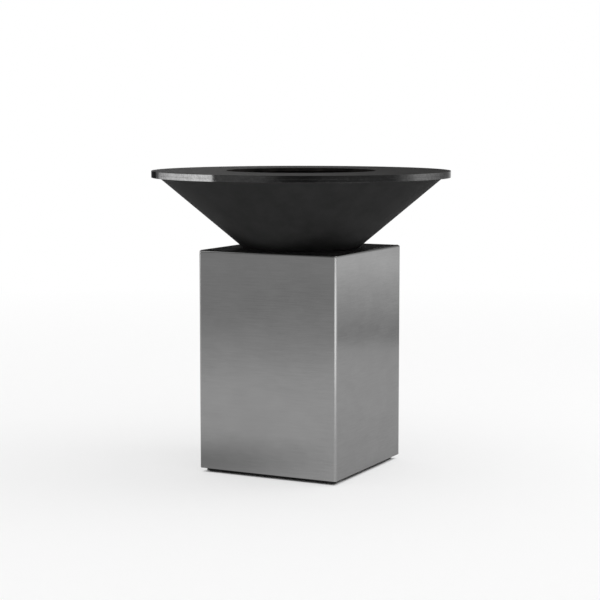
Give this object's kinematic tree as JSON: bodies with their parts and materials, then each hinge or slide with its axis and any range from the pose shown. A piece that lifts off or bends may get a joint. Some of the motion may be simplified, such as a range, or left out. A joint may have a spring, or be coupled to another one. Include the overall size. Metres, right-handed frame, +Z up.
{
  "type": "wood-fired griddle",
  "caption": "Round steel cooking plate with a fire opening, lying on a conical black fire bowl that stands on a square brushed steel plinth with levelling feet.",
  "frame": {"origin": "on the floor, under the middle of the plinth", "axes": "+Z up through the middle of the cooking plate, -Y towards the plinth's front, +X towards its right side"},
  "size_m": [1, 1, 1.002],
  "materials": {
    "brushed_stainless": "brushed",
    "black_coating": "matte heat-proof coating",
    "oiled_steel": "ground and oiled",
    "galvanised_steel": "galvanised",
    "fasteners": "plain",
    "nylon": "moulded"
  },
  "bodies": {
    "plinth": {"casing_wrapper": "brushed_stainless", "rear_panel": "brushed_stainless", "panel_screws": "fasteners", "panel_nuts": "fasteners", "deck_plate": "black_coating", "deck_screws": "black_coating", "deck_nuts": "fasteners", "spigot_guide": "black_coating", "foot_nuts": "fasteners", "corner_post_front_left": "galvanised_steel", "corner_post_front_right": "galvanised_steel", "corner_post_rear_right": "galvanised_steel", "corner_post_rear_left": "galvanised_steel", "deck_rail_left": "galvanised_steel", "deck_rail_front": "galvanised_steel", "deck_rail_right": "galvanised_steel", "deck_rail_rear": "galvanised_steel", "foot_plate_front_left": "galvanised_steel", "foot_plate_front_right": "galvanised_steel", "foot_plate_rear_right": "galvanised_steel", "foot_plate_rear_left": "galvanised_steel", "base_bar_left": "black_coating", "base_bar_front": "black_coating", "base_bar_right": "black_coating", "base_bar_rear": "black_coating"},
    "bowl": {"bowl_cone": "black_coating", "bowl_floor": "black_coating", "bowl_rim_ring": "black_coating", "drain_spigot": "black_coating"},
    "guard": {"ember_guard": "black_coating"},
    "plate": {"cooking_plate": "oiled_steel", "plate_band": "oiled_steel"},
    "foot_front_left": {"foot_pad_front_left": "nylon", "foot_stud_front_left": "fasteners"},
    "foot_front_right": {"foot_pad_front_right": "nylon", "foot_stud_front_right": "fasteners"},
    "foot_rear_right": {"foot_pad_rear_right": "nylon", "foot_stud_rear_right": "fasteners"},
    "foot_rear_left": {"foot_pad_rear_left": "nylon", "foot_stud_rear_left": "fasteners"}
  },
  "joints": [
    {"name": "bowl_lift", "type": "slide", "parent": "plinth", "child": "bowl", "axis": [0, 0, 1], "range_m": [0, 0.2]},
    {"name": "plate_lift", "type": "slide", "parent": "bowl", "child": "plate", "axis": [0, 0, 1], "range_m": [0, 0.15]},
    {"name": "guard_lift", "type": "slide", "parent": "bowl", "child": "guard", "axis": [0, 0, 1], "range_m": [0, 0.3]},
    {"name": "foot_front_left_level", "type": "slide", "parent": "plinth", "child": "foot_front_left", "axis": [0, 0, -1], "range_m": [0, 0.02]},
    {"name": "foot_front_right_level", "type": "slide", "parent": "plinth", "child": "foot_front_right", "axis": [0, 0, -1], "range_m": [0, 0.02]},
    {"name": "foot_rear_right_level", "type": "slide", "parent": "plinth", "child": "foot_rear_right", "axis": [0, 0, -1], "range_m": [0, 0.02]},
    {"name": "foot_rear_left_level", "type": "slide", "parent": "plinth", "child": "foot_rear_left", "axis": [0, 0, -1], "range_m": [0, 0.02]}
  ]
}
